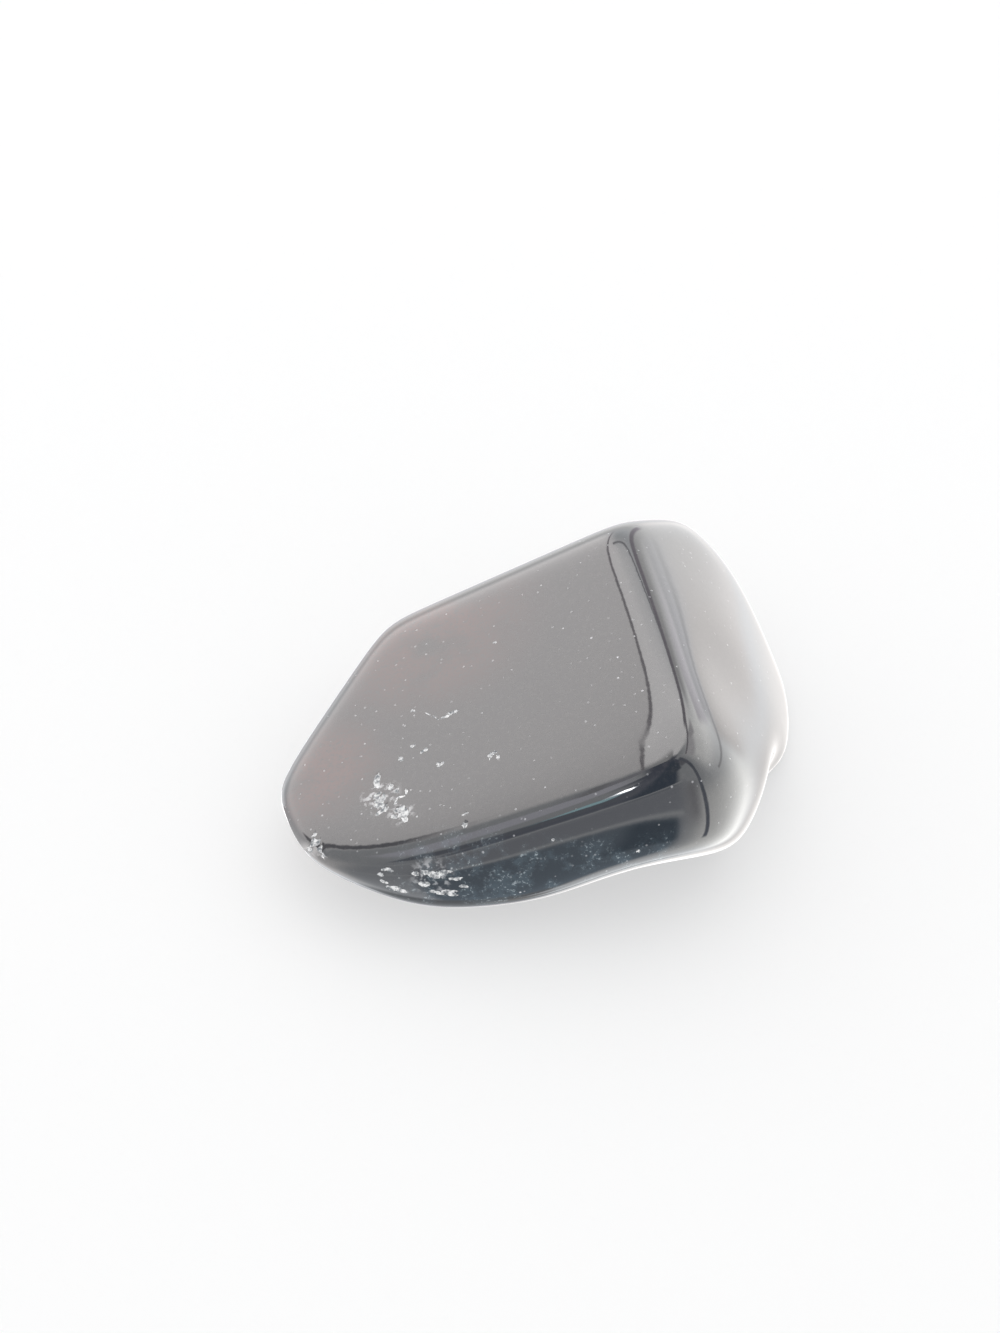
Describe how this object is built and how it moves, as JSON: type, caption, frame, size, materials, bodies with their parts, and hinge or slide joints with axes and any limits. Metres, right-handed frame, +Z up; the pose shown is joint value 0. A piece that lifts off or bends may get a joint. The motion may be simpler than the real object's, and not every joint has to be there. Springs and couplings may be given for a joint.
{
  "type": "obsidian chunk",
  "caption": "Tumbled, polished chunk of near-black obsidian, a rounded wedge with a broad sloping top face, lying flat as an ornament.",
  "frame": {"origin": "middle of the stone's bounding box in plan, at the flat underside that it rests on", "axes": "+X along the longest side, towards the low rounded tip; +Z up, the shortest side; -Y faces the viewer of the steep dark front"},
  "size_m": [0.0312, 0.03, 0.0132],
  "materials": {
    "polished_obsidian": "polished"
  },
  "bodies": {
    "root": {"obsidian_chunk": "polished_obsidian"}
  },
  "joints": []
}
